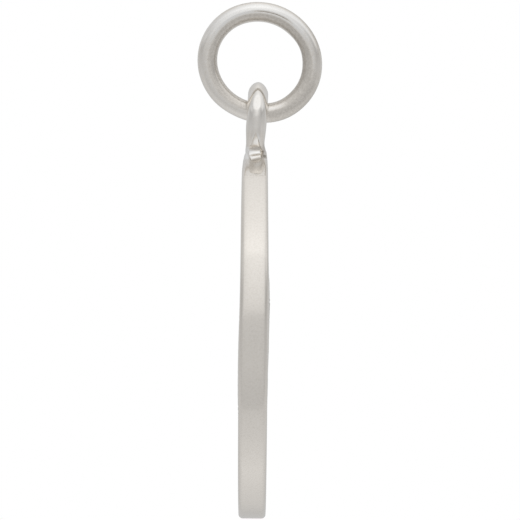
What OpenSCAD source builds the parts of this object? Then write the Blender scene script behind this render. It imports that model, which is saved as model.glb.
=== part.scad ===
// Round silver tree charm: a pierced, cast disc with a loop on its top, and the jump ring that it hangs on.
// Millimetres. +Z is up and the tree's face looks towards -Y. The origin is the top of the jump ring's
// hole, where the charm hangs.

/* [Disc] */
// Outside diameter of the round frame
disc_d = 15; // [14:0.5:18]
// Thickness of the frame, front to back
frame_t = 1.08; // [1.04:0.02:1.2]
// Width of the frame, from its outside to the open work
frame_w = 1.05; // [0.95:0.05:1.2]
// Radius of the frame's four long edges
frame_edge = 0.16; // [0.1:0.01:0.25]

/* [Tree] */
// Thickness of the twigs and of the lower step of the boughs
twig_t = 0.84; // [0.76:0.02:0.88]
// Thickness of the raised middle of the boughs and roots
bough_t = 1; // [0.94:0.01:1.02]
// How far the trunk stands proud of the frame's front
front_relief = 0.08; // [0.04:0.01:0.12]
// How far the trunk stands proud of the frame's back
back_relief = 0.04; // [0.02:0.01:0.08]
// How far each raised step lies in from the one below it
step_in = 0.1; // [0.06:0.01:0.12]

/* [Loop] */
// Outside diameter of the loop on top of the frame
loop_d = 3.2; // [3:0.05:3.4]
// Diameter of the loop's wire
loop_wire = 0.82; // [0.76:0.02:0.88]
// Lean of the loop towards the front, in degrees
loop_lean = 2.5; // [0:0.5:4]

/* [Jump ring] */
// Outside length of the ring, along its longer way
ring_long = 5.12; // [5.02:0.02:5.3]
// Outside length of the ring, along its shorter way
ring_short = 4.88; // [4.7:0.02:4.98]
// Diameter of the ring's wire
ring_wire = 0.8; // [0.76:0.02:0.84]
// Slope of the ring's longer way, down towards the front, in degrees
ring_slope = 25.5; // [0:0.5:40]

/* [Hidden] */
$fn = 48;

// Jump ring: four arcs, two of them wider, drawn with x along the longer way and y along the shorter.
wire_r = ring_wire / 2;
half_long = (ring_long - ring_wire) / 2;
half_short = (ring_short - ring_wire) / 2;
arc_shift = (half_long - half_short) / (2 - sqrt(2));
end_arc_r = half_long - arc_shift;
side_arc_r = half_short + arc_shift;
// The middles of the ring and of its lower side arc, from the hang point, as [towards the front, up]
ring_middle = [
    arc_shift * sin(ring_slope),
    arc_shift * cos(ring_slope) - side_arc_r + wire_r,
];
low_arc_middle = ring_middle + arc_shift * [sin(ring_slope), cos(ring_slope)];

// Pivot: the middle of the ring's wire straight below the hang point, where the loop hangs
pivot_z = low_arc_middle.y - sqrt(side_arc_r ^ 2 - low_arc_middle.x ^ 2);

// Loop: it hangs with a little play over the wire
play = 0.03;
loop_drop = loop_d / 2 - loop_wire - wire_r - play;
loop_middle = [0, loop_drop * sin(loop_lean), pivot_z - loop_drop * cos(loop_lean)];

// Disc: its flat drawing has x to the right as the face is seen, y up, and 0, 0 in the middle.
scale_k = disc_d / 15;
disc_r = disc_d / 2;
open_r = disc_r - frame_w;
seat_r = disc_r - frame_w / 2;
loop_sink = 0.43;
disc_back = 0.07;
disc_middle = [0, disc_back, loop_middle.z - loop_d / 2 + loop_sink - disc_r];

// Tree: its trunk is a bundle of strands, which spread into the roots below and the boughs above.
// Each bough has two twigs. Everything ends in the frame.
waist = [-0.1, -2.3];
crotch = [0.1, -0.9];
waist_spread = 1.2;
root_fan = 30;
bough_fan = 60;
curve_pull = 1.1;
root_steps = 9;
trunk_steps = 3;
bough_steps = 12;
twig_steps = 8;

ROOT_A = 0; ROOT_BEND = 1; ROOT_W = 2; SIDE = 3; TRUNK_W = 4; BOUGH_A = 5; BOUGH_BEND = 6; BOUGH_W = 7;
strands = [
    // root angle, bend, width, place across the trunk, width, bough angle, bend, width
    [213, 30, 0.50, -0.66, 0.62, 197, 45, 0.50],
    [231, 20, 0.55, -0.42, 0.66, 161, 10, 0.55],
    [250, 8, 0.60, -0.20, 0.72, 126, 5, 0.60],
    [269, 0, 0.60, 0.02, 0.72, 91, -6, 0.60],
    [288, -8, 0.60, 0.22, 0.72, 57, -8, 0.60],
    [307, -20, 0.55, 0.44, 0.66, 20, -12, 0.55],
    [326, -30, 0.50, 0.66, 0.62, -15, -45, 0.50],
];

STRAND = 0; AT = 1; TURN = 2; END_A = 3; BEND = 4; START_W = 5; END_W = 6;
twigs = [
    // strand, place along its bough, turn, end angle, bend, start width, end width
    [0, 0.42, -30, 184, 24, 0.48, 0.42],
    [0, 0.52, 30, 209, 40, 0.46, 0.42],
    [1, 0.38, -28, 149, -4, 0.50, 0.42],
    [1, 0.50, 25, 173, 24, 0.46, 0.42],
    [2, 0.42, 25, 138, 20, 0.50, 0.42],
    [2, 0.36, -28, 114, -4, 0.50, 0.42],
    [3, 0.36, 26, 103, 16, 0.50, 0.42],
    [3, 0.44, -26, 79, -16, 0.50, 0.42],
    [4, 0.40, 25, 69, 12, 0.50, 0.42],
    [4, 0.36, -28, 45, -12, 0.50, 0.42],
    [5, 0.44, 25, 32, 8, 0.46, 0.42],
    [5, 0.38, -28, 8, -24, 0.50, 0.42],
    [6, 0.40, 30, -3, -24, 0.48, 0.42],
    [6, 0.50, -30, -28, -40, 0.46, 0.42],
];

function mix(a, b, t) = a + (b - a) * t;
function heading(a) = [cos(a), sin(a)];
function across(v) = [-v.y, v.x] / norm(v);
function turned(v, a) = [v.x * cos(a) - v.y * sin(a), v.x * sin(a) + v.y * cos(a)];

// Points of a smooth curve that leaves p0 along d0 and reaches p1 along d1
function curve(p0, d0, p1, d1, steps) =
    let (pull = norm(p1 - p0) * curve_pull)
    [for (i = [0:steps]) let (t = i / steps)
        p0 * (2 * t ^ 3 - 3 * t ^ 2 + 1) + d0 * pull * (t ^ 3 - 2 * t ^ 2 + t)
        + p1 * (3 * t ^ 2 - 2 * t ^ 3) + d1 * pull * (t ^ 3 - t ^ 2)];
function rest(path) = [for (i = [1:len(path) - 1]) path[i]];
function back(path) = [for (i = [len(path) - 1:-1:0]) path[i]];

function waist_of(s) = scale_k * (waist + [s[SIDE] * waist_spread, 0]);
function crotch_of(s) = scale_k * (crotch + [s[SIDE], 0]);
function root_heading(s) = heading(270 + s[SIDE] * root_fan);
function bough_heading(s) = heading(90 - s[SIDE] * bough_fan);

function root_path(s) = curve(waist_of(s), root_heading(s), seat_r * heading(s[ROOT_A]),
    heading(s[ROOT_A] + s[ROOT_BEND]), root_steps);
function trunk_path(s) = curve(waist_of(s), -root_heading(s), crotch_of(s), bough_heading(s), trunk_steps);
function bough_path(s) = curve(crotch_of(s), bough_heading(s), seat_r * heading(s[BOUGH_A]),
    heading(s[BOUGH_A] + s[BOUGH_BEND]), bough_steps);

// A strand's whole path, from the frame below to the frame above, and its width at each point
function strand_path(s) = concat(back(root_path(s)), rest(trunk_path(s)), rest(bough_path(s)));
function strand_widths(s) = scale_k * concat(
    [for (i = [0:root_steps]) mix(s[ROOT_W], s[TRUNK_W], i / root_steps)],
    [for (i = [1:trunk_steps]) s[TRUNK_W]],
    [for (i = [1:bough_steps]) mix(s[TRUNK_W], s[BOUGH_W], i / bough_steps)]
);

function twig_path(t) =
    let (bough = bough_path(strands[t[STRAND]]), i = round(t[AT] * bough_steps),
        way = bough[i + 1] - bough[i - 1])
    curve(bough[i], turned(way / norm(way), t[TURN]), seat_r * heading(t[END_A]),
        heading(t[END_A] + t[BEND]), twig_steps);
function twig_widths(t) =
    scale_k * [for (i = [0:twig_steps]) mix(t[START_W], t[END_W], i / twig_steps)];

// A band along a path from point a to point b, drawn in from its full width by inset on each side
module band(path, widths, inset, a, b) {
    last = len(path) - 1;
    side = [for (i = [0:last])
        across(path[min(i + 1, last)] - path[max(i - 1, 0)]) * (widths[i] / 2 - inset)];
    polygon(concat(
        [for (i = [a:b]) path[i] + side[i]],
        [for (i = [b:-1:a]) path[i] - side[i]]
    ));
}

module strand(s, inset, a, b) {
    band(strand_path(s), strand_widths(s), inset, a, b);
}

module tree_plan() {
    for (s = strands) strand(s, 0, 0, root_steps + trunk_steps + bough_steps);
    for (t = twigs) band(twig_path(t), twig_widths(t), 0, 0, twig_steps);
}

// The parts of the strands that are raised: from part of the way down the roots to part of the way
// up the boughs, both given as shares of their length
module raised_plan(share, inset) {
    for (s = strands)
        strand(s, inset, round(root_steps * (1 - share)),
            root_steps + trunk_steps + round(bough_steps * share));
}

module tree() {
    linear_extrude(height = twig_t, center = true) tree_plan();
    linear_extrude(height = bough_t, center = true) raised_plan(0.9, step_in);
    translate([0, 0, -frame_t / 2 - back_relief])
        linear_extrude(height = frame_t + back_relief + front_relief) raised_plan(0.35, 2 * step_in);
}

module frame() {
    half_t = frame_t / 2 - frame_edge;
    rotate_extrude() {
        translate([open_r, -half_t]) square([frame_w, 2 * half_t]);
        translate([open_r + frame_edge, -frame_t / 2]) square([frame_w - 2 * frame_edge, frame_t]);
        for (x = [open_r + frame_edge, disc_r - frame_edge], y = [-half_t, half_t])
            translate([x, y]) circle(frame_edge);
    }
}

module loop() {
    translate(loop_middle) rotate([90 + loop_lean, 0, 0])
        rotate_extrude() translate([(loop_d - loop_wire) / 2, 0]) circle(loop_wire / 2);
}

module tree_disc() {
    color("silver") {
        translate(disc_middle) rotate([90, 0, 0]) {
            frame();
            tree();
        }
        loop();
    }
}

module ring_arc(middle, radius, from) {
    translate(middle) rotate([0, 0, from])
        rotate_extrude(angle = 90) translate([radius, 0]) circle(wire_r);
}

module jump_ring() {
    color("silver")
    translate([0, -ring_middle.x, ring_middle.y]) rotate([90, 0, -90]) rotate([0, 0, -ring_slope]) {
        ring_arc([arc_shift, 0], end_arc_r, -45);
        ring_arc([0, -arc_shift], side_arc_r, 45);
        ring_arc([-arc_shift, 0], end_arc_r, 135);
        ring_arc([0, arc_shift], side_arc_r, 225);
    }
}

tree_disc();
jump_ring();
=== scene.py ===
import math

import bmesh
import bpy
from bpy.props import FloatProperty, FloatVectorProperty, PointerProperty
from mathutils import Matrix, Vector


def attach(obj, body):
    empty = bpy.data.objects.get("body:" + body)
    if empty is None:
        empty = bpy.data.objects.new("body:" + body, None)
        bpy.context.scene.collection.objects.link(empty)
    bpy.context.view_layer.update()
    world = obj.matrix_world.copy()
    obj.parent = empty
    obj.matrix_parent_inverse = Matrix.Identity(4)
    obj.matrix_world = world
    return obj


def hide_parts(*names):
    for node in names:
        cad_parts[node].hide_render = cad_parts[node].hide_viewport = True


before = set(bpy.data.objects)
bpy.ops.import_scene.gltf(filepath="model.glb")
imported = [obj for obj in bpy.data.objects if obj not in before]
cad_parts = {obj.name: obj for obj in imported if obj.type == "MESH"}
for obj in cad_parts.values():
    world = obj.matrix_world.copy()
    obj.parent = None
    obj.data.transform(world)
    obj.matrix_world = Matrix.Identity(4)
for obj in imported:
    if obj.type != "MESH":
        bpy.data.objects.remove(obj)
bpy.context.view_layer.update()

bl_info = {
    "name": "Round silver tree charm",
    "version": (1, 0, 0),
    "blender": (4, 5, 0),
    "location": "3D View > Sidebar > Charm",
    "description": "Makes a pierced, cast silver tree charm on its jump ring, and a pale studio around it",
    "category": "Object",
}

MM = 0.001

# ---------------------------------------------------------------- places, in millimetres, as the CAD has them
DISC_MIDDLE = Vector((0, 0.07, -12.7326))
LOOP_MIDDLE = Vector((0, 0.0153, -4.06264))
LOOP_LEAN = math.radians(2.5)
RING_MIDDLE = Vector((0, -0.08819, -1.66009))
RING_SLOPE = math.radians(25.5)

# From the flat drawing of the disc (x right, y up, z towards the front) to its place in the frame
STAND_UP = Matrix.Translation(DISC_MIDDLE) @ Matrix.Rotation(math.pi / 2, 4, "X")


# ---------------------------------------------------------------- the tree's design
WAIST = Vector((-0.1, -2.3))
CROTCH = Vector((0.1, -0.9))
WAIST_SPREAD = 1.2
ROOT_FAN = 30
BOUGH_FAN = 60
CURVE_PULL = 1.1
ROOT_STEPS, TRUNK_STEPS, BOUGH_STEPS, TWIG_STEPS = 12, 4, 24, 14

# Root angle, bend, width, place across the trunk, width, bough angle, bend, width
STRANDS = (
    (213, 30, 0.50, -0.66, 0.62, 197, 45, 0.50),
    (231, 20, 0.55, -0.42, 0.66, 161, 10, 0.55),
    (250, 8, 0.60, -0.20, 0.72, 126, 5, 0.60),
    (269, 0, 0.60, 0.02, 0.72, 91, -6, 0.60),
    (288, -8, 0.60, 0.22, 0.72, 57, -8, 0.60),
    (307, -20, 0.55, 0.44, 0.66, 20, -12, 0.55),
    (326, -30, 0.50, 0.66, 0.62, -15, -45, 0.50),
)
# Strand, place along its bough, turn, end angle, bend, start width, end width
TWIGS = (
    (0, 0.42, -30, 184, 24, 0.48, 0.42),
    (0, 0.52, 30, 209, 40, 0.46, 0.42),
    (1, 0.38, -28, 149, -4, 0.50, 0.42),
    (1, 0.50, 25, 173, 24, 0.46, 0.42),
    (2, 0.42, 25, 138, 20, 0.50, 0.42),
    (2, 0.36, -28, 114, -4, 0.50, 0.42),
    (3, 0.36, 26, 103, 16, 0.50, 0.42),
    (3, 0.44, -26, 79, -16, 0.50, 0.42),
    (4, 0.40, 25, 69, 12, 0.50, 0.42),
    (4, 0.36, -28, 45, -12, 0.50, 0.42),
    (5, 0.44, 25, 32, 8, 0.46, 0.42),
    (5, 0.38, -28, 8, -24, 0.50, 0.42),
    (6, 0.40, 30, -3, -24, 0.48, 0.42),
    (6, 0.50, -30, -28, -40, 0.46, 0.42),
)


class CharmDisc(bpy.types.PropertyGroup):
    """The round frame, its loop and the solder between them"""

    diameter: FloatProperty(name="Diameter", description="Outside of the round frame",
                            default=15 * MM, unit="LENGTH")
    thickness: FloatProperty(name="Thickness", description="Frame, front to back",
                             default=1.08 * MM, unit="LENGTH")
    width: FloatProperty(name="Width", description="Frame, from its outside to the open work",
                         default=1.05 * MM, unit="LENGTH")
    edge: FloatProperty(name="Edge radius", description="Rounding of the frame's four long edges",
                        default=0.16 * MM, unit="LENGTH")
    loop_diameter: FloatProperty(name="Loop diameter", description="Outside of the loop on top",
                                 default=3.2 * MM, unit="LENGTH")
    loop_wire: FloatProperty(name="Loop wire", description="Thickness of the loop's wire",
                             default=0.82 * MM, unit="LENGTH")


class CharmTree(bpy.types.PropertyGroup):
    """The tree that fills the frame"""

    depth: FloatProperty(name="Limb depth", description="Depth of a limb, front to back, for a width of 1",
                         default=1.5, min=1.3, max=1.8)
    ridge: FloatProperty(name="Ridge", default=0.22, min=0.0, max=0.3,
                         description="How much deeper than the limb its ridge is, for a width of 1")
    relief: FloatProperty(name="Relief", default=1.0, min=0.0, max=1.5,
                          description="How strongly the trunk swells out of the frame's faces")
    grain: FloatProperty(name="Grain", default=0.073 * MM, unit="LENGTH",
                         description="Size of the cells that the limbs are melted together with")


class CharmRing(bpy.types.PropertyGroup):
    """The jump ring"""

    long_way: FloatProperty(name="Longer way", description="Outside of the ring, along its longer way",
                            default=5.12 * MM, unit="LENGTH")
    short_way: FloatProperty(name="Shorter way", description="Outside of the ring, along its shorter way",
                             default=4.88 * MM, unit="LENGTH")
    wire: FloatProperty(name="Wire", description="Thickness of the ring's wire",
                        default=0.8 * MM, unit="LENGTH")


def linear(code):
    """An sRGB hex colour as linear red, green, blue and alpha"""
    parts = [int(code[i:i + 2], 16) / 255 for i in (1, 3, 5)]
    return tuple(c / 12.92 if c <= 0.04045 else ((c + 0.055) / 1.055) ** 2.4 for c in parts) + (1.0,)


class CharmLooks(bpy.types.PropertyGroup):
    """Colours of the metal and the studio"""

    # Each place's dulling mixes these colours: bright also serves the painted highlights, dull the painted
    # shade
    bright: FloatVectorProperty(name="Bright silver", description="Colour where it is polished bright",
                                size=4, subtype="COLOR", default=linear("#FAF9F7"), min=0, max=1)
    satin: FloatVectorProperty(name="Satin silver", description="Colour where the silver is only tumbled",
                               size=4, subtype="COLOR", default=linear("#EFEAE3"), min=0, max=1)
    dull: FloatVectorProperty(name="Dull silver", description="Colour where no polishing reaches",
                              size=4, subtype="COLOR", default=linear("#A39D94"), min=0, max=1)
    floor: FloatVectorProperty(name="Floor", description="Colour of the studio floor",
                               size=4, subtype="COLOR", default=linear("#F4F3F1"), min=0, max=1)


# ---------------------------------------------------------------- nodes and materials
def add(tree, kind, inputs=None, **settings):
    """Adds a node; inputs maps a socket's name or number to a value or to a (node, output) pair"""
    node = tree.nodes.new(kind)
    for name, value in settings.items():
        setattr(node, name, value)
    for socket, value in (inputs or {}).items():
        if isinstance(value, tuple) and isinstance(value[0], bpy.types.Node):
            tree.links.new(value[0].outputs[value[1]], node.inputs[socket])
        else:
            node.inputs[socket].default_value = value
    return node


def set_stops(node, stops):
    """Gives a colour ramp its stops, as (place, colour) pairs"""
    ramp = node.color_ramp
    while len(ramp.elements) > 1:
        ramp.elements.remove(ramp.elements[-1])
    ramp.elements[0].position, ramp.elements[0].color = stops[0]
    for place, colour in stops[1:]:
        ramp.elements.new(place).color = colour
    return node


def new_material(name):
    material = bpy.data.materials.new(name)
    material.use_nodes = True
    material.node_tree.nodes.clear()
    return material, material.node_tree


SATIN = 0.35        # how far satin silver is from the brightest polish, where 1 is dull
UNEVEN_SIZE = 0.5   # mm, the shallow unevenness that a cast or drawn surface keeps
MARK_SIZE = 0.09    # mm, the tumbling marks, drawn coarser than they are, so that they show
PATCH_SIZE = 0.7    # mm, the patches that the tumbling reached more or less
PITTING = 16.0      # times that both kinds of unevenness are deeper where the silver is dull


def silver_material(name, roughness, spread, uneven_height, mark_height, mottling, rough_shade_spots=(), smooth_shade_spots=()):
    """Sterling silver: a bright, slightly warm mirror, softened by tumbling. The heights of its unevenness
    and its marks are in micrometres, and mottling is how far the marks brighten and darken it. The mesh says
    how far each place is dulled in colour, from 0 over SATIN to 1, dull: partly by wear, partly as painted
    light and shade. Rough and smooth spots of painted shade are each given as place and half size, both in mm,
    slope and dulling"""
    looks = bpy.context.scene.charm_looks
    material, tree = new_material(name)
    place = add(tree, "ShaderNodeTexCoord")
    wear = add(tree, "ShaderNodeAttribute", attribute_name="wear")
    # Shallow unevenness left by casting or drawing, under the polish: it makes the reflections waver
    uneven = add(tree, "ShaderNodeTexNoise", {"Vector": (place, "Object"), "Scale": 1 / (UNEVEN_SIZE * MM),
                                              "Detail": 2.0, "Roughness": 0.45})
    # Fine tumbling marks, which give the mirror its grain
    marks = add(tree, "ShaderNodeTexNoise", {"Vector": (place, "Object"), "Scale": 1 / (MARK_SIZE * MM),
                                             "Detail": 3.0, "Roughness": 0.55})
    # Where the tumbling reached less, the polish is duller
    patchy = add(tree, "ShaderNodeTexNoise", {"Vector": (place, "Object"), "Scale": 1 / (PATCH_SIZE * MM),
                                              "Detail": 3.0})
    polish = add(tree, "ShaderNodeMapRange", {"Value": (patchy, "Fac"), "From Min": 0.3, "From Max": 0.7,
                                              "To Min": roughness - spread, "To Max": roughness + spread})

    def with_shade_spots(dulling, spots):
        """The dulling, given as (node, output), with soft-edged spots of painted shade laid over it"""
        for middle, size, slope, depth in spots:
            near = add(tree, "ShaderNodeMapping", {
                "Vector": (place, "Object"), "Location": Vector(middle) * MM,
                "Rotation": (math.radians(slope), 0, 0), "Scale": Vector(size) * MM}, vector_type="TEXTURE")
            off = add(tree, "ShaderNodeVectorMath", {0: (near, "Vector")}, operation="LENGTH")
            spot_shade = add(tree, "ShaderNodeMapRange", {
                "Value": (off, "Value"), "From Min": 0.4, "From Max": 1.0, "To Min": depth, "To Max": 0.0},
                        interpolation_type="SMOOTHSTEP")
            deepest = add(tree, "ShaderNodeMath", {0: dulling, 1: (spot_shade, "Result")}, operation="MAXIMUM")
            dulling = (deepest, "Value")
        return dulling

    rough_dulling = with_shade_spots((wear, "Fac"), rough_shade_spots)
    dulling = with_shade_spots(rough_dulling, smooth_shade_spots)
    cubed = add(tree, "ShaderNodeMath", {0: dulling, 1: 3.0}, operation="POWER")
    # Both kinds of unevenness are far deeper where it is dull, and in the rough spots of painted shade
    deeper = add(tree, "ShaderNodeMapRange", {"Value": rough_dulling, "From Min": 0.3, "From Max": 0.65,
                                              "To Min": 1.0, "To Max": PITTING},
                 interpolation_type="SMOOTHSTEP")
    relief = None
    for texture, micrometres in ((uneven, uneven_height), (marks, mark_height)):
        level = add(tree, "ShaderNodeMath", {0: (texture, "Fac"), 1: 0.5}, operation="SUBTRACT")
        height = add(tree, "ShaderNodeMath", {0: (level, "Value"), 1: (deeper, "Result")},
                     operation="MULTIPLY")
        relief = add(tree, "ShaderNodeBump", {"Height": (height, "Value"), "Distance": micrometres * 1e-6,
                                              **({"Normal": (relief, "Normal")} if relief else {})})
    worn = add(tree, "ShaderNodeMath", {0: (cubed, "Value"), 1: 1.2, 2: (polish, "Result")},
               operation="MULTIPLY_ADD")
    # From bright over satin to dull, with a faint mottling of the dulling; so the painted light and shade are
    # in this colour too
    mottle = add(tree, "ShaderNodeMapRange", {"Value": (marks, "Fac"), "From Min": 0.25, "From Max": 0.75,
                                              "To Min": -mottling, "To Max": mottling})
    shade = add(tree, "ShaderNodeMath", {0: dulling, 1: (mottle, "Result")}, operation="ADD")
    tint = set_stops(add(tree, "ShaderNodeValToRGB", {"Fac": (shade, "Value")}), [
        (0.0, tuple(looks.bright)), (SATIN, tuple(looks.satin)), (1.0, tuple(looks.dull)),
    ])
    shader = add(tree, "ShaderNodeBsdfPrincipled", {
        "Base Color": (tint, "Color"), "Metallic": 1.0, "Roughness": (worn, "Value"),
        "Normal": (relief, "Normal"),
    })
    add(tree, "ShaderNodeOutputMaterial", {"Surface": (shader, "BSDF")})
    return material


FIBRE_SIZE = 0.4         # mm, the fibres of the floor's paper
FLOOR_FADE = (70, 195)   # mm from its middle over which the floor fades out


def floor_material():
    """Matte studio paper: pale, without gloss, and fading out at its edge into the white around it"""
    material, tree = new_material("matte_studio_paper")
    place = add(tree, "ShaderNodeTexCoord")
    fibre = add(tree, "ShaderNodeTexNoise", {"Vector": (place, "Object"), "Scale": 1 / (FIBRE_SIZE * MM),
                                             "Detail": 4.0})
    bump = add(tree, "ShaderNodeBump", {"Height": (fibre, "Fac"), "Distance": 4e-6})
    paper = add(tree, "ShaderNodeBsdfPrincipled", {
        "Base Color": tuple(bpy.context.scene.charm_looks.floor), "Roughness": 0.9, "Specular IOR Level": 0.1,
        "Normal": (bump, "Normal"),
    })
    far = add(tree, "ShaderNodeVectorMath", {0: (place, "Object")}, operation="LENGTH")
    fade = add(tree, "ShaderNodeMapRange", {
        "Value": (far, "Value"), "From Min": FLOOR_FADE[0] * MM, "From Max": FLOOR_FADE[1] * MM,
        "To Min": 1.0, "To Max": 0.0}, interpolation_type="SMOOTHSTEP")
    clear = add(tree, "ShaderNodeBsdfTransparent")
    mixed = add(tree, "ShaderNodeMixShader", {0: (fade, "Result"), 1: (clear, "BSDF"), 2: (paper, "BSDF")})
    add(tree, "ShaderNodeOutputMaterial", {"Surface": (mixed, "Shader")})
    return material


# ---------------------------------------------------------------- making a piece
def new_piece(name, mesh):
    piece = bpy.data.objects.new(name, mesh)
    bpy.context.scene.collection.objects.link(piece)
    return piece


def mesh_of(bm, name, smooth_under=35):
    """The mesh of a bmesh drawn in millimetres, in metres, with its normals outward"""
    bmesh.ops.recalc_face_normals(bm, faces=bm.faces)
    bmesh.ops.scale(bm, vec=(MM, MM, MM), verts=bm.verts)
    limit = math.radians(smooth_under)
    for edge in bm.edges:
        edge.smooth = len(edge.link_faces) == 2 and edge.calc_face_angle(0) < limit
    for face in bm.faces:
        face.smooth = True
    mesh = bpy.data.meshes.new(name)
    bm.to_mesh(mesh)
    bm.free()
    return mesh


def spin_closed(bm, axis, steps):
    """Turns every vertex and edge of bm once round the axis through 0, 0, 0 and closes the seam"""
    bmesh.ops.spin(bm, geom=bm.verts[:] + bm.edges[:], cent=(0, 0, 0), axis=axis, angle=2 * math.pi,
                   steps=steps, use_merge=True)


def set_wear_and_shading(mesh, rule):
    """Writes how far each vertex is dulled in colour, by its wear and by painted light and shade; rule takes
    the vertex
    """
    wear = mesh.attributes.new("wear", "FLOAT", "POINT")
    for vert, value in zip(mesh.vertices, wear.data):
        value.value = min(1.0, max(0.0, rule(vert)))


def ease(t):
    """0 up to t = 0, 1 from t = 1, and smooth between them"""
    t = min(1.0, max(0.0, t))
    return t * t * (3 - 2 * t)


def along(stops, place):
    """The value at place of a smooth line through the stops"""
    if place <= stops[0][0]:
        return stops[0][1]
    for (a, first), (b, last) in zip(stops, stops[1:]):
        if place < b:
            return first + (last - first) * ease((place - a) / (b - a))
    return stops[-1][1]


def heading(degrees):
    """The unit vector that points there, from +X towards +Y"""
    return Vector((math.cos(math.radians(degrees)), math.sin(math.radians(degrees))))


def applied(piece):
    """Replaces the piece's mesh by its mesh with all modifiers applied"""
    graph = bpy.context.evaluated_depsgraph_get()
    mesh = bpy.data.meshes.new_from_object(piece.evaluated_get(graph))
    piece.modifiers.clear()
    piece.data = mesh
    return piece


# ---------------------------------------------------------------- frame, loop and solder
# Millimetres, drawn flat from the disc's middle: x right, y up and z towards the front
FRAME_STEPS = 600            # round the frame
FACE_CROWN = 0.02            # the faces fall by it from their middle to their edges
SHOULDER_DEPTH = 0.9         # down to here below its top the frame is filed thinner
SHOULDER_CUT = (0.12, 0.19)  # share of its thickness that it loses at the very top, in front and behind
SEAT_CUT = 0.15              # filed off the outside on both sides of the loop
SEAT_SLOPE = 0.137           # slope of what is filed there, up towards the front
SEAT_PLACE, SEAT_END = 13.4, 31.8  # degrees round from the top: where that is deepest, and where it ends
BACK_RUB = 0.025             # the outside is rubbed down by it at its back edge
BACK_RUB_FROM = 0.25         # share of the way from mid-thickness to the back where that starts
BACK_RUB_FADE = 1.6          # height over which it comes in, above the disc's middle
RIM = 0.3                    # what lies this near the outside counts as the outside
BULGE, BULGE_AT, BULGE_FALL = 1.05, -2.8, 0.00095  # the hand-finished frame is thickest below its middle
BOW, BOW_AT, BOW_REACH = 0.022, 2.6, 2.2  # how far it is bent to the front, and where


def bow(height):
    """How far the frame and the tree are bent to the front at a height above the disc's middle, in mm"""
    return BOW * math.exp(-((height - BOW_AT) / BOW_REACH) ** 2)


def frame_bmesh(disc):
    outer, half = disc.diameter / MM / 2, disc.thickness / MM / 2
    width = disc.width / MM
    inner = outer - width
    bm = bmesh.new()
    corners = [bm.verts.new((x, 0, z)) for x, z in (
        (inner, -half), (outer, -half), (outer, half), (inner, half))]
    bm.faces.new(corners)
    bmesh.ops.bevel(bm, geom=corners, offset=disc.edge / MM, offset_type="OFFSET", segments=6, profile=0.5,
                    affect="VERTICES", material=-1)
    long_edges = [e for e in bm.edges if e.calc_length() > 2 * disc.edge / MM]
    bmesh.ops.subdivide_edges(bm, edges=long_edges, cuts=5)
    bmesh.ops.delete(bm, geom=bm.faces[:], context="FACES_ONLY")
    for vert in bm.verts:
        off = (vert.co.x - (inner + outer) / 2) / (width / 2)
        vert.co.z -= math.copysign(FACE_CROWN * off * off, vert.co.z) * (abs(vert.co.z) / half) ** 2
    spin_closed(bm, (0, 0, 1), FRAME_STEPS)
    deepest, reach = heading(SEAT_PLACE).y, heading(SEAT_END).y
    for vert in bm.verts:
        radial = Vector((vert.co.x, vert.co.y)).length
        depth = outer - vert.co.y
        if depth < SHOULDER_DEPTH:
            vert.co.z *= 1 - SHOULDER_CUT[vert.co.z < 0] * (1 - depth / SHOULDER_DEPTH) ** 2
        turn = math.degrees(math.atan2(abs(vert.co.x), vert.co.y))
        if turn < SEAT_END + 1:
            off = turn - SEAT_END
            if 0.3 < abs(off) < 0.9:
                # Drawn up to the end of the filing, so that it is crisp
                turn = SEAT_END + math.copysign(0.05, off)
                across, up = heading(turn).yx
                vert.co.xy = radial * Vector((math.copysign(across, vert.co.x), up))
            aside = heading(turn).y
            past = min(1.0, max(0.0, (aside - deepest) / (reach - deepest)))
            cut = SEAT_CUT * ease(aside / deepest) * (1 - past ** 1.6)
            outwards = max(0.0, (radial - inner) / width)
            vert.co.y += (SEAT_SLOPE * vert.co.z * ease(1 - past) - cut) * outwards
        if radial > outer - RIM:
            off = max(0.0, -vert.co.z / half - BACK_RUB_FROM) / (1 - BACK_RUB_FROM)
            off *= ease(vert.co.y / BACK_RUB_FADE)
            vert.co.xy *= 1 - BACK_RUB * off * off / outer
        vert.co.z *= BULGE - BULGE_FALL * (vert.co.y - BULGE_AT) ** 2
        vert.co.z += bow(vert.co.y)
    bmesh.ops.transform(bm, matrix=STAND_UP, verts=bm.verts)
    return bm


LOOP_STEPS, WIRE_STEPS = 320, 64   # round the loop and round a wire
EGG = 0.22                         # share of its radius by which the loop's wire is longer outwards
FOOT_SWELL = (0.22, 0.05)          # share by which its foot widens into the solder, in front and behind
LOOP_FLAT = math.radians(28)       # how far the flat on the loop's shoulder faces up
LOOP_FLAT_ASIDE = math.radians(6)  # and towards the back
LOOP_FLAT_AT = 1.547               # mm from the loop's middle
LOOP_FLAT_EDGE = 0.008             # mm over which it is rubbed round at its edge


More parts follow.
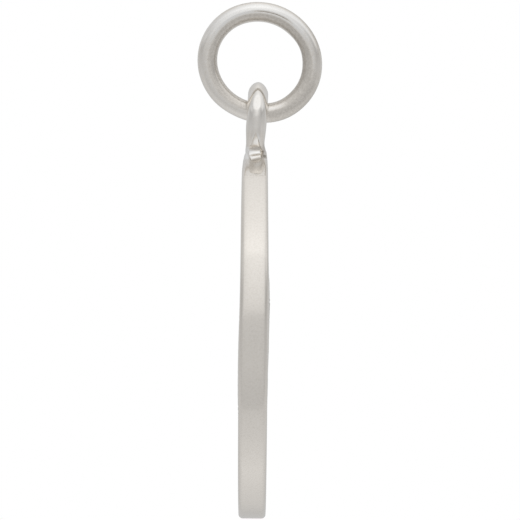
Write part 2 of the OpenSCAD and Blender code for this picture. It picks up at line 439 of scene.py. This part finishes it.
def loop_bmesh(disc):
    wire = disc.loop_wire / MM / 2
    hole = disc.loop_diameter / MM / 2 - 2 * wire
    bm = bmesh.new()
    bmesh.ops.create_circle(bm, cap_ends=False, segments=WIRE_STEPS, radius=wire)
    # Egg-shaped section, its blunter end inwards: x is towards the outside of the loop
    for vert in bm.verts:
        x = vert.co.x
        vert.co.x = x * (1 + EGG if x > 0 else 1 - EGG) - EGG * wire
    bmesh.ops.rotate(bm, verts=bm.verts, matrix=Matrix.Rotation(math.pi / 2, 3, "X"))
    bmesh.ops.translate(bm, verts=bm.verts, vec=(hole + wire, 0, 0))
    spin_closed(bm, (0, 0, 1), LOOP_STEPS)
    # A flat that years of rubbing have polished on the loop's shoulder, on the side of -X
    flat = Vector((-math.cos(LOOP_FLAT), math.sin(LOOP_FLAT), -math.tan(LOOP_FLAT_ASIDE))).normalized()
    for vert in bm.verts:
        # Outside, the wire is blunter towards its foot and sharper towards its top
        radial, across = Vector((vert.co.x, vert.co.y)), abs(vert.co.z / wire)
        if radial.length > hole + 0.79 * wire and across < 1:
            plain = (1 - across ** 2) ** 0.5
            blunt, sharp = (1 - across ** 3) ** (1 / 3) - plain, (1 - across ** 1.8) ** (1 / 1.8) - plain
            radial.length += (1 + EGG) * wire * (ease((-0.3 - vert.co.y) / 0.6) * blunt
                                                 + ease((vert.co.y - 0.3) / 0.6) * sharp)
            vert.co.xy = radial
        over = vert.co.dot(flat) - LOOP_FLAT_AT
        if over > -LOOP_FLAT_EDGE:
            rounded = (over + LOOP_FLAT_EDGE) ** 2 / (4 * LOOP_FLAT_EDGE)
            vert.co -= flat * (rounded if over < LOOP_FLAT_EDGE else over)
        # It is a little thinner down to its foot, which swells again where it meets the solder
        vert.co.z *= 1 - 0.1 * ease((-0.2 - vert.co.y) / 0.8)
        vert.co.z *= 1 + FOOT_SWELL[vert.co.z < 0] * ease((-0.9 - vert.co.y) / 0.35)
        # Foot and top are bent to the back
        vert.co.z -= 0.016 * ease((0.3 - vert.co.y) / 0.8) + 0.014 * ease((vert.co.y - 1) / 0.5)
    lean = Matrix.Rotation(math.pi / 2 + LOOP_LEAN, 4, "X")
    bmesh.ops.transform(bm, matrix=Matrix.Translation(LOOP_MIDDLE) @ lean, verts=bm.verts)
    return bm


FILLET = 0.25            # mm, radius of the solder's hollow between loop and frame
FILLET_STEPS = 14
FILLET_THICKNESS = 0.45  # mm, front to back
FILLET_EDGE = 0.06       # mm, rounding of its edges
FILLET_BACK = 0.095      # mm from the mount's plane to its middle, towards the back
# Two hidden corners of the solder: X and how far below the frame's top, X and how far below the loop's middle
FILLET_IN_FRAME, FILLET_IN_LOOP = (0.95, 0.5), (0.72, 0.88)


def fillet_bmesh(disc, side):
    """The solder in the notch between the loop and the frame, hollow outwards; side is -1 or 1 along X"""
    loop_r, frame_r = disc.loop_diameter / MM / 2, disc.diameter / MM / 2 - SEAT_CUT
    low = LOOP_MIDDLE.z - DISC_MIDDLE.z
    # The hollow's middle lies FILLET off both circles
    a, b = frame_r + FILLET, loop_r + FILLET
    z = (a * a - b * b + low * low) / (2 * low)
    middle = Vector((math.sqrt(a * a - z * z), z))
    start, end = math.atan2(low - z, -middle.x) % (2 * math.pi), math.atan2(-z, -middle.x) % (2 * math.pi)
    outline = []
    for i in range(FILLET_STEPS + 1):
        turn = start + (end - start) * i / FILLET_STEPS
        outline.append(middle + FILLET * Vector((math.cos(turn), math.sin(turn))))
    outline.append(Vector((FILLET_IN_FRAME[0], frame_r - FILLET_IN_FRAME[1])))
    outline.append(Vector((FILLET_IN_LOOP[0], low - FILLET_IN_LOOP[1])))
    bm = bmesh.new()
    face = bm.faces.new([bm.verts.new((side * p.x, -FILLET_THICKNESS / 2, p.y)) for p in outline])
    made = bmesh.ops.extrude_face_region(bm, geom=[face])["geom"]
    bmesh.ops.translate(bm, verts=[g for g in made if isinstance(g, bmesh.types.BMVert)],
                        vec=(0, FILLET_THICKNESS, 0))
    bmesh.ops.recalc_face_normals(bm, faces=bm.faces)
    rims = [e for e in bm.edges if abs(e.verts[0].co.y - e.verts[1].co.y) < 1e-6]
    bmesh.ops.bevel(bm, geom=rims, offset=FILLET_EDGE, offset_type="OFFSET", segments=4, profile=0.5,
                    affect="EDGES", material=-1, clamp_overlap=True)
    # It slopes up towards the front, as the filed seat below it does
    for vert in bm.verts:
        vert.co.z -= SEAT_SLOPE * vert.co.y
    bmesh.ops.translate(bm, verts=bm.verts, vec=(0, FILLET_BACK, DISC_MIDDLE.z))
    return bm


def join_solid(name, parts):
    """One closed mesh from overlapping closed ones"""
    first = new_piece(name, mesh_of(parts[0], name))
    for i, bm in enumerate(parts[1:]):
        other = new_piece(f"{name}_tool_{i}", mesh_of(bm, "tool"))
        union = first.modifiers.new("union", "BOOLEAN")
        union.operation, union.solver, union.object = "UNION", "EXACT", other
        applied(first)
        bpy.data.objects.remove(other)
    bm = bmesh.new()
    bm.from_mesh(first.data)
    bmesh.ops.remove_doubles(bm, verts=bm.verts, dist=1e-7)
    bmesh.ops.scale(bm, vec=(1 / MM,) * 3, verts=bm.verts)
    first.data = mesh_of(bm, name)
    return first


# Heights in mm from the mount: where the loop's own solder ends, where the frame's satin and a patch of
# painted reflection on it start, and how far down that patch goes
SOLDER_TOP, SOLDER_FOOT, REFLECTION_PATCH_END = -5.3, -5.6, -6.25
# Height in mm, and how far the loop there is dulled in colour, from its solder up: partly its tumbled finish,
# partly painted shade on its foot, sides and top, lightest where its highlight falls
LOOP_WEAR_AND_SHADING = ((-5.18, 0), (-5.1, 0.34), (-4.7, 0.34), (-4.35, 0.22), (-3.8, 0.22), (-3.5, 0.13), (-3, 0.14),
             (-2.75, 0.28))
PAINTED_MIDDLE = 0.03               # mm towards the back, the middle of the painted highlight drop and of the painted reflection patch
HIGHLIGHT_DROP_AT, HIGHLIGHT_DROP = -4.82, (0.13, 0.2)  # a drop-shaped painted highlight on the loop's foot: its height and half size in mm


class CHARM_OT_frame(bpy.types.Operator):
    """Make the round frame with its loop and the solder between them"""

    bl_idname = "charm.frame"
    bl_label = "Frame and loop"

    def execute(self, context):
        disc = context.scene.charm_disc
        piece = join_solid("frame_and_loop", [
            frame_bmesh(disc), loop_bmesh(disc),
            fillet_bmesh(disc, -1), fillet_bmesh(disc, 1),
        ])

        def wear(vert):
            """Bright on the solder and in a drop-shaped painted highlight on the loop's foot, the loop above
            dulled by height, partly as painted shade, a patch of painted reflection on the frame below the
            solder, else satin
            """
            at = vert.co / MM
            aside = at.y - PAINTED_MIDDLE
            if at.z > SOLDER_TOP:
                drop_highlight = ease(1.6 - Vector((aside / HIGHLIGHT_DROP[0], (at.z - HIGHLIGHT_DROP_AT) / HIGHLIGHT_DROP[1])).length)
                return along(LOOP_WEAR_AND_SHADING, at.z) * (1 - drop_highlight)
            # A patch of painted reflection, where the loop mirrors in the frame, with a slightly darker line
            # down each of its sides
            reflection_patch = 0.04 + 0.08 * ease(1 - abs(abs(aside) - 0.39) / 0.08)
            reflection_patch *= ease((SOLDER_FOOT - at.z) / 0.08) * ease((at.z - REFLECTION_PATCH_END) / 0.1)
            return SATIN * ease((SOLDER_FOOT - at.z) / 0.1) + reflection_patch

        set_wear_and_shading(piece.data, wear)
        piece.data.materials.append(cast_silver())
        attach(piece, "charm")
        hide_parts("tree_disc")
        return {"FINISHED"}


# ---------------------------------------------------------------- tree
def curve_points(p0, d0, p1, d1, steps):
    """Points of a smooth curve that leaves p0 along d0 and reaches p1 along d1"""
    pull = (p1 - p0).length * CURVE_PULL
    points = []
    for i in range(steps + 1):
        t = i / steps
        points.append(p0 * (2 * t ** 3 - 3 * t ** 2 + 1) + d0 * pull * (t ** 3 - 2 * t ** 2 + t)
                      + p1 * (3 * t ** 2 - 2 * t ** 3) + d1 * pull * (t ** 3 - t ** 2))
    return points


def widths(first, last, steps):
    return [first + (last - first) * i / steps for i in range(steps + 1)]


def limbs(seat):
    """The strands and the twigs, each as a list of points and a list of widths"""
    strands, twigs, boughs = [], [], []
    for root_a, root_bend, root_w, side, trunk_w, bough_a, bough_bend, bough_w in STRANDS:
        waist, crotch = WAIST + Vector((side * WAIST_SPREAD, 0)), CROTCH + Vector((side, 0))
        down, up = heading(270 + side * ROOT_FAN), heading(90 - side * BOUGH_FAN)
        root = curve_points(waist, down, seat * heading(root_a), heading(root_a + root_bend), ROOT_STEPS)
        trunk = curve_points(waist, -down, crotch, up, TRUNK_STEPS)
        bough = curve_points(crotch, up, seat * heading(bough_a), heading(bough_a + bough_bend), BOUGH_STEPS)
        boughs.append(bough)
        strands.append((root[::-1] + trunk[1:] + bough[1:],
                        widths(root_w, trunk_w, ROOT_STEPS) + [trunk_w] * TRUNK_STEPS
                        + widths(trunk_w, bough_w, BOUGH_STEPS)[1:]))
    for strand, at, turn, end_a, bend, first, last in TWIGS:
        bough, i = boughs[strand], 2 * round(at * BOUGH_STEPS / 2)
        way = (bough[i + 2] - bough[i - 2]).normalized()
        way.rotate(Matrix.Rotation(math.radians(turn), 2))
        twigs.append((curve_points(bough[i], way, seat * heading(end_a), heading(end_a + bend), TWIG_STEPS),
                      widths(first, last, TWIG_STEPS)))
    return strands, twigs


def section(name, width, depth, power):
    """A closed flat curve to run along the limbs: rounder than a box, fuller than an ellipse"""
    curve = bpy.data.curves.new(name, "CURVE")
    curve.dimensions = "2D"
    spline = curve.splines.new("POLY")
    count = 20
    spline.points.add(count - 1)
    for i, point in enumerate(spline.points):
        a = 2 * math.pi * i / count
        x, y = math.cos(a), math.sin(a)
        point.co = (math.copysign(abs(x) ** (2 / power), x) * width / 2,
                    math.copysign(abs(y) ** (2 / power), y) * depth / 2, 0, 1)
    spline.use_cyclic_u = True
    return new_piece(name, curve)


def sweep(name, paths, profile):
    """A mesh of the profile run along each path, its size following the path's widths"""
    curve = bpy.data.curves.new(name, "CURVE")
    curve.dimensions = "3D"
    curve.twist_mode = "Z_UP"
    curve.bevel_mode, curve.bevel_object, curve.use_fill_caps = "OBJECT", profile, True
    for points, sizes in paths:
        spline = curve.splines.new("POLY")
        spline.points.add(len(points) - 1)
        for point, place, size in zip(spline.points, points, sizes):
            point.co = (place.x, place.y, 0, 1)
            point.radius = size
    swept = new_piece(name, curve)
    graph = bpy.context.evaluated_depsgraph_get()
    graph.update()
    mesh = bpy.data.meshes.new_from_object(swept.evaluated_get(graph))
    bpy.data.objects.remove(swept)
    bpy.data.objects.remove(profile)
    return mesh


MELT_SMOOTHING = 3            # rounds of smoothing after the limbs are melted together
RIDGE_WIDTH = 0.42            # of the ridge along a strand, for a width of 1
# The points of a strand that carry a ridge: on every other strand from half up its root, on the others
# along the bough alone
LONG_RIDGE, SHORT_RIDGE = slice(6, -8), slice(17, -8)
LIP_IN, LIP_OUT, LIP_HALF = 0.03, 0.3, 0.34  # mm inside and outside the frame's open edge, and half its depth
LIP_STEPS = 200
# Height from the disc's middle, and the share by which the limbs are deeper there, in front and behind
FRONT_SWELL = ((-3, -0.01), (-1.7, 0.01), (-0.4, 0.06), (1, 0.09), (1.5, 0.125), (2, 0.115), (2.5, 0.07),
               (4.5, 0))
BACK_SWELL = ((-6, 0), (-4, 0.03), (-1.7, 0.06), (-1, 0.06), (1.5, 0.02), (4, 0))


class CHARM_OT_tree(bpy.types.Operator):
    """Make the tree that fills the frame, its limbs melted together as cast"""

    bl_idname = "charm.tree"
    bl_label = "Tree"

    def execute(self, context):
        disc, tree = context.scene.charm_disc, context.scene.charm_tree
        outer, half = disc.diameter / MM / 2, disc.thickness / MM / 2
        inner = outer - disc.width / MM
        strands, twigs = limbs(outer - disc.width / MM / 2)
        bm = bmesh.new()
        bm.from_mesh(sweep("strands", strands, section("strand_section", 1, tree.depth, 2.4)))
        bm.from_mesh(sweep("twigs", twigs, section("twig_section", 1, tree.depth + 0.3, 2.4)))
        # A narrow ridge along each strand gives the trunk and the boughs their flutes
        ridges = [(points[LONG_RIDGE], sizes[LONG_RIDGE]) for points, sizes in strands[::2]]
        ridges += [(points[SHORT_RIDGE], sizes[SHORT_RIDGE]) for points, sizes in strands[1::2]]
        ridge = section("ridge_section", RIDGE_WIDTH, tree.depth + tree.ridge, 2.0)
        bm.from_mesh(sweep("ridges", ridges, ridge))
        # A thin lip inside the frame, which the limbs run into with a fillet
        lip = bmesh.new()
        corners = [lip.verts.new((x, 0, z)) for x, z in (
            (inner - LIP_IN, -LIP_HALF), (inner + LIP_OUT, -LIP_HALF),
            (inner + LIP_OUT, LIP_HALF), (inner - LIP_IN, LIP_HALF))]
        for a, b in zip(corners, corners[1:] + corners[:1]):
            lip.edges.new((a, b))
        spin_closed(lip, (0, 0, 1), LIP_STEPS)
        bmesh.ops.recalc_face_normals(lip, faces=lip.faces)
        lip_mesh = bpy.data.meshes.new("lip")
        lip.to_mesh(lip_mesh)
        lip.free()
        bm.from_mesh(lip_mesh)
        mesh = bpy.data.meshes.new("tree")
        bm.to_mesh(mesh)
        bm.free()
        piece = new_piece("tree", mesh)
        melt = piece.modifiers.new("melt", "REMESH")
        melt.mode, melt.voxel_size, melt.adaptivity = "VOXEL", tree.grain / MM, 0.0
        smooth = piece.modifiers.new("smooth", "SMOOTH")
        smooth.factor, smooth.iterations = 0.5, MELT_SMOOTHING
        applied(piece)
        bm = bmesh.new()
        bm.from_mesh(piece.data)
        for vert in bm.verts:
            swell = along(FRONT_SWELL if vert.co.z > 0 else BACK_SWELL, vert.co.y)
            vert.co.z = vert.co.z * (1 + tree.relief * swell) + bow(vert.co.y)
        bmesh.ops.transform(bm, matrix=STAND_UP, verts=bm.verts)
        piece.data = mesh_of(bm, "tree", 60)

        def wear(vert):
            """Duller towards mid-thickness, where no polishing reaches, and on what faces aside, there as
            painted shade that sets the flanks off from the tops of the relief
            """
            off = min(1.0, abs(vert.co.y / MM - DISC_MIDDLE.y) / half)
            return 0.72 - 0.45 * off * ease(1.6 * abs(vert.normal.y) - 0.2)

        set_wear_and_shading(piece.data, wear)
        piece.data.materials.append(cast_silver())
        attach(piece, "charm")
        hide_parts("tree_disc")
        return {"FINISHED"}


# ---------------------------------------------------------------- jump ring
ARC_STEPS = 64        # along each of the ring's four arcs
GROOVE_DEPTH = 0.012  # mm that the groove along the top of the ring is drawn in
# Places round the ring that are rubbed or bent, in degrees up from the front, with their reach, and how far
# the inside and the outside of the wire lie further out there, in mm
RING_BENDS = ((-117, 30, 0, -0.03), (-68, 28, 0.024, 0.018), (22, 28, 0.028, 0))


class CHARM_OT_ring(bpy.types.Operator):
    """Make the soldered jump ring, an oval of four arcs"""

    bl_idname = "charm.ring"
    bl_label = "Jump ring"

    def execute(self, context):
        ring = context.scene.charm_ring
        wire = ring.wire / MM / 2
        half_long, half_short = ring.long_way / MM / 2 - wire, ring.short_way / MM / 2 - wire
        shift = (half_long - half_short) / (2 - math.sqrt(2))
        bm = bmesh.new()
        bmesh.ops.create_circle(bm, cap_ends=False, segments=WIRE_STEPS, radius=wire)
        bmesh.ops.rotate(bm, verts=bm.verts, matrix=Matrix.Rotation(math.pi / 2, 3, "X"))
        bmesh.ops.translate(bm, verts=bm.verts, vec=(half_long - shift, 0, 0))
        bmesh.ops.rotate(bm, verts=bm.verts, matrix=Matrix.Rotation(-math.pi / 4, 3, "Z"))
        bmesh.ops.translate(bm, verts=bm.verts, vec=(shift, 0, 0))
        last = bm.verts[:] + bm.edges[:]
        for middle in ((shift, 0, 0), (0, -shift, 0), (-shift, 0, 0), (0, shift, 0)):
            last = bmesh.ops.spin(bm, geom=last, cent=middle, axis=(0, 0, 1), angle=math.pi / 2,
                                  steps=ARC_STEPS)["geom_last"]
        bmesh.ops.remove_doubles(bm, verts=bm.verts, dist=1e-4)
        # Drawn flat with x along the longer way, then stood up across the loop and sloped
        stand = (Matrix.Translation(RING_MIDDLE) @ Matrix.Rotation(-math.pi / 2, 4, "Z")
                 @ Matrix.Rotation(math.pi / 2, 4, "X") @ Matrix.Rotation(-RING_SLOPE, 4, "Z"))
        bmesh.ops.transform(bm, matrix=stand, verts=bm.verts)

        def ring_place(at):
            """Up and forward shares of the way out from the ring's middle, and how far out across the wire"""
            off = Vector((-(at.y - RING_MIDDLE.y), at.z - RING_MIDDLE.z))
            turn = math.atan2(off.y, off.x) + RING_SLOPE
            middle = (half_long + half_short + (half_long - half_short) * math.cos(2 * turn)) / 2
            return off.y / off.length, off.x / off.length, (off.length - middle) / wire

        def groove(at):
            """A groove drawn in along the top of the ring on the side of -X, its colour darkened into a thin
            line of painted shade: 1 at its middle
            """
            up, forward, out = ring_place(at)
            reach = ease((up - 0.72) / 0.16) * ease((forward + 0.25) / 0.3)
            return reach * ease(1 - abs(out) / 0.1) if at.x < 0 else 0.0

        def ring_wear_and_shading(vert):
            """Bright on the outer side of its top, as a painted highlight, innermost there too, and where the
            loop hangs and rubs it; darker elsewhere inside, at its outermost edge and lower down in front, as
            painted shade"""
            at = vert.co / MM
            up, forward, out = ring_place(at)
            # Outside: left bright at its top as a painted highlight, darkened lower down in front as painted
            # shade
            outside = (0.27 + 0.21 * ease(4 * forward) * ease(-2 * up)) * (1 - ease((up - 0.15) / 0.65))
            outside += 0.5 * ease((out - 0.62) / 0.35) * ease((up - 0.25 + 0.3 * forward) / 0.5)
            # Inside: darkened as painted shade, less so innermost at the top
            inside = 0.47 + 0.05 * forward + 0.06 * ease(2 * up) + 0.1 * ease((-0.6 - out) / 0.2)
            inside *= 1 - 0.5 * ease((-0.88 - out) / 0.08) * ease(2 * up)
            # The loop rubs it bright where it hangs, most of all in front
            inside -= 0.32 * ease((-0.8 - up) / 0.12) * ease(1 - abs(out + 0.33) / 0.3) * ease(4 * forward)
            edge = ease((out + 0.1 + 0.2 * ease(2 * up)) / 0.2)
            # The groove's thin line of painted shade lies over the rest
            return max(inside + (outside - inside) * edge, 0.9 * groove(at))

        for vert in bm.verts:
            up, forward, out = ring_place(vert.co)
            vert.co.x += GROOVE_DEPTH * groove(vert.co)
            for middle, reach, inside, outside in RING_BENDS:
                near = ease(1 - abs(math.degrees(math.atan2(up, forward)) - middle) / reach)
                far = near * (inside + (outside - inside) * ease((out + 1) / 2))
                vert.co += far * Vector((0, -forward, up))
        piece = new_piece("jump_ring_wire", mesh_of(bm, "jump_ring_wire"))
        set_wear_and_shading(piece.data, ring_wear_and_shading)
        # Drawn sterling silver wire, tumbled: a softer mirror than the casting, with more of a grain
        piece.data.materials.append(silver_material("drawn_sterling_silver", 0.13, 0.04, 1.4, 0.45, 0.12))
        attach(piece, "ring")
        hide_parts("jump_ring")
        return {"FINISHED"}


# Painted shade in the notch beside the solder, on the side of -X, in rough spots: place, half size, slope,
# dulling
SOLDER_ROUGH_SHADE = (
    ((-1.6, -0.31, -5.53), (0.8, 0.12, 0.13), 0, 0.85),
)
# Smooth painted shade along the solder's creases there, given the same way
SOLDER_SMOOTH_SHADE = (
    ((-1.5, 0.109, -5.48), (1.0, 0.26, 0.026), -8, 0.5),
    ((-1.9, 0.26, -5.65), (1.0, 0.17, 0.04), 71, 0.7),
    ((-1.2, 0.0, -5.19), (0.8, 0.45, 0.16), 0, 0.55),
    ((-1.3, -0.16, -5.15), (0.3, 0.1, 0.1), 0, 0.65),
    ((-1.3, -0.31, -5.37), (1.8, 0.18, 0.75), 0, 0.58),
    ((-1.5, -0.31, -5.59), (1.0, 0.15, 0.22), 0, 0.76),
)


def cast_silver():
    """Cast sterling silver, tumbled bright: soft mirror with shallow unevenness, and painted shade beside the
    solder
    """
    return (bpy.data.materials.get("cast_sterling_silver")
            or silver_material("cast_sterling_silver", 0.07, 0.03, 1.4, 0.25, 0.06, SOLDER_ROUGH_SHADE,
                               SOLDER_SMOOTH_SHADE))


# ---------------------------------------------------------------- stage
# The tent of pale cloth round the charm, by the height in degrees that a ray leaves at, from the camera's
# side (0) over the top (90) to the back (180), and as minus below: brightness as a grey hex
TENT = (
    (-180, "#B9B9B9"), (-146, "#BBBBBB"), (-133, "#C6C6C6"), (-92, "#D5D5D5"), (-63, "#C9C9C9"),
    (-47, "#C4C4C4"), (-45, "#BBBBBB"), (-37, "#BBBBBB"), (-19, "#C0C0C0"), (0, "#C0C0C0"), (12, "#C4C4C4"),
    (15.5, "#D2D2D2"), (20, "#D8D8D8"), (33, "#E0E0E0"), (50, "#E9E9E9"), (53, "#F2F2F2"), (57, "#F2F2F2"),
    (75, "#E9E9E9"), (95, "#E4E4E4"), (121, "#DEDEDE"), (144, "#CDCDCD"), (180, "#B9B9B9"),
)
# The same on the side that the tree's face looks to, and on the side of its back
TENT_FRONT = (
    (-180, "#C0C0C0"), (-90, "#C3C3C3"), (-48, "#B9B9B9"), (-45, "#B3B3B3"), (5, "#AFAFAF"), (20, "#989898"),
    (35, "#949494"), (50, "#A4A4A4"), (56, "#BCBCBC"), (67, "#C4C4C4"), (79, "#D4D4D4"), (100, "#CCCCCC"),
    (122, "#BCBCBC"), (150, "#C0C0C0"), (180, "#C0C0C0"),
)
TENT_BACK = (
    (-180, "#BCBCBC"), (-90, "#C0C0C0"), (-45, "#B5B5B5"), (10, "#B2B2B2"), (35, "#A6A6A6"), (50, "#A8A8A8"),
    (60, "#B2B2B2"), (90, "#B0B0B0"), (120, "#B0B0B0"), (150, "#BEBEBE"), (180, "#BCBCBC"),
)
# Straight out from the tree's face and back, by height from -1, floor, to 1, ceiling: darker towards the
# horizon
TENT_ENDS = ((-1, "#CACACA"), (-0.35, "#C2C2C2"), (-0.12, "#B8B8B8"), (0.06, "#B4B4B4"), (0.3, "#ACACAC"),
             (0.5, "#E2E2E2"), (1, "#E6E6E6"))
TENT_LIGHT = 1.15
FLOOR_RADIUS, FLOOR_HEIGHT = 200, -36  # mm
LAMP_PLACE, LAMP_SIZE, LAMP_POWER = (-20, -30, 160), 120, 0.35  # mm, mm and watts
# The camera looks at the charm's edge, level and nearly square on
CAMERA_PLACE = (-150, -0.165, -9.713)  # mm
CAMERA_SENSOR, CAMERA_LENS = 36, 254.8  # mm
CAMERA_ROLL = 0.5  # degrees


def studio_world():
    """White to the camera; to the metal, a tent of pale cloth with brighter panels above"""
    world = bpy.data.worlds.new("studio_tent")
    world.use_nodes = True
    tree = world.node_tree
    tree.nodes.clear()
    way = add(tree, "ShaderNodeTexCoord")
    split = add(tree, "ShaderNodeSeparateXYZ", {0: (way, "Generated")})
    towards = add(tree, "ShaderNodeMath", {0: (split, "X"), 1: -1.0}, operation="MULTIPLY")
    height = add(tree, "ShaderNodeMath", {0: (split, "Z"), 1: (towards, "Value")}, operation="ARCTAN2")
    share = add(tree, "ShaderNodeMapRange", {"Value": (height, "Value"), "From Min": -math.pi,
                                             "From Max": math.pi})
    middle, front, back = (
        set_stops(add(tree, "ShaderNodeValToRGB", {"Fac": (share, "Result")}),
                  [((a + 180) / 360, linear(code)) for a, code in bands])
        for bands in (TENT, TENT_FRONT, TENT_BACK))
    behind = add(tree, "ShaderNodeMath", {0: (split, "Y"), 1: 0.0}, operation="GREATER_THAN")
    sides = add(tree, "ShaderNodeMix", {
        "Factor": (behind, "Value"), "A": (front, "Color"), "B": (back, "Color")}, data_type="RGBA")
    lift = add(tree, "ShaderNodeMapRange", {"Value": (split, "Z"), "From Min": -1.0, "From Max": 1.0})
    ends = set_stops(add(tree, "ShaderNodeValToRGB", {"Fac": (lift, "Result")}),
                     [((a + 1) / 2, linear(code)) for a, code in TENT_ENDS])
    aside = add(tree, "ShaderNodeMath", {0: (split, "Y")}, operation="ABSOLUTE")
    part = add(tree, "ShaderNodeMath", {0: (aside, "Value"), 1: 1.2}, operation="POWER")
    cloth = add(tree, "ShaderNodeMix", {
        "Factor": (part, "Value"), "A": (middle, "Color"), "B": (sides, "Result")}, data_type="RGBA")
    end = add(tree, "ShaderNodeMapRange", {"Value": (aside, "Value"), "From Min": 0.82, "From Max": 0.97},
              interpolation_type="SMOOTHSTEP")
    whole = add(tree, "ShaderNodeMix", {
        "Factor": (end, "Result"), "A": (cloth, "Result"), "B": (ends, "Color")}, data_type="RGBA")
    lit = add(tree, "ShaderNodeBackground", {"Color": (whole, "Result"), "Strength": TENT_LIGHT})
    white = add(tree, "ShaderNodeBackground", {"Color": (1, 1, 1, 1), "Strength": 1.0})
    ray = add(tree, "ShaderNodeLightPath")
    seen = add(tree, "ShaderNodeMixShader", {0: (ray, "Is Camera Ray"), 1: (lit, "Background"),
                                             2: (white, "Background")})
    add(tree, "ShaderNodeOutputWorld", {"Surface": (seen, "Shader")})
    return world


class CHARM_OT_stage(bpy.types.Operator):
    """Make the pale floor, the soft studio light and the camera"""

    bl_idname = "charm.stage"
    bl_label = "Stage"

    def execute(self, context):
        scene = context.scene
        scene.world = studio_world()
        scene.view_settings.view_transform = "Standard"
        scene.view_settings.look = "None"

        bm = bmesh.new()
        bmesh.ops.create_circle(bm, cap_ends=True, segments=96, radius=FLOOR_RADIUS * MM)
        mesh = bpy.data.meshes.new("studio_floor")
        bm.to_mesh(mesh)
        bm.free()
        floor = new_piece("studio_floor", mesh)
        floor.location = (0, 0, FLOOR_HEIGHT * MM)
        floor.visible_glossy = False
        mesh.materials.append(floor_material())

        lamp = bpy.data.lights.new("soft_top_light", "AREA")
        lamp.shape, lamp.size, lamp.energy = "DISK", LAMP_SIZE * MM, LAMP_POWER
        light = new_piece("soft_top_light", lamp)
        light.location = Vector(LAMP_PLACE) * MM
        light.rotation_euler = (floor.location - light.location).to_track_quat("-Z", "Y").to_euler()
        light.visible_glossy = False

        lens = bpy.data.cameras.new("camera")
        lens.sensor_width, lens.lens = CAMERA_SENSOR, CAMERA_LENS
        lens.clip_start, lens.clip_end = 0.01, 10
        camera = new_piece("camera", lens)
        camera.location = Vector(CAMERA_PLACE) * MM
        look = Matrix.Rotation(math.radians(-90), 4, "Z") @ Matrix.Rotation(math.radians(90), 4, "X")
        roll = Matrix.Rotation(math.radians(CAMERA_ROLL), 4, "Z")
        camera.rotation_euler = (look @ roll).to_euler()
        scene.camera = camera
        return {"FINISHED"}


class CHARM_PT_panel(bpy.types.Panel):
    """Sizes, colours and steps of the charm"""

    bl_idname = "CHARM_PT_panel"
    bl_label = "Tree charm"
    bl_space_type = "VIEW_3D"
    bl_region_type = "UI"
    bl_category = "Charm"

    def draw(self, context):
        scene = context.scene
        for group in (scene.charm_disc, scene.charm_tree, scene.charm_ring, scene.charm_looks):
            box = self.layout.box()
            for name in group.bl_rna.properties.keys():
                if name not in ("rna_type", "name"):
                    box.prop(group, name)
        for step in OPERATORS:
            self.layout.operator(step.bl_idname)


GROUPS = {
    "charm_disc": CharmDisc, "charm_tree": CharmTree, "charm_ring": CharmRing, "charm_looks": CharmLooks,
}
OPERATORS = (CHARM_OT_frame, CHARM_OT_tree, CHARM_OT_ring, CHARM_OT_stage)


def register():
    for kind in (*GROUPS.values(), *OPERATORS, CHARM_PT_panel):
        bpy.utils.register_class(kind)
    for name, kind in GROUPS.items():
        setattr(bpy.types.Scene, name, PointerProperty(type=kind))


def unregister():
    for name in GROUPS:
        delattr(bpy.types.Scene, name)
    for kind in reversed((*GROUPS.values(), *OPERATORS, CHARM_PT_panel)):
        bpy.utils.unregister_class(kind)


def main():
    register()
    bpy.ops.charm.frame()
    bpy.ops.charm.tree()
    bpy.ops.charm.ring()
    bpy.ops.charm.stage()


if __name__ == "__main__":
    main()
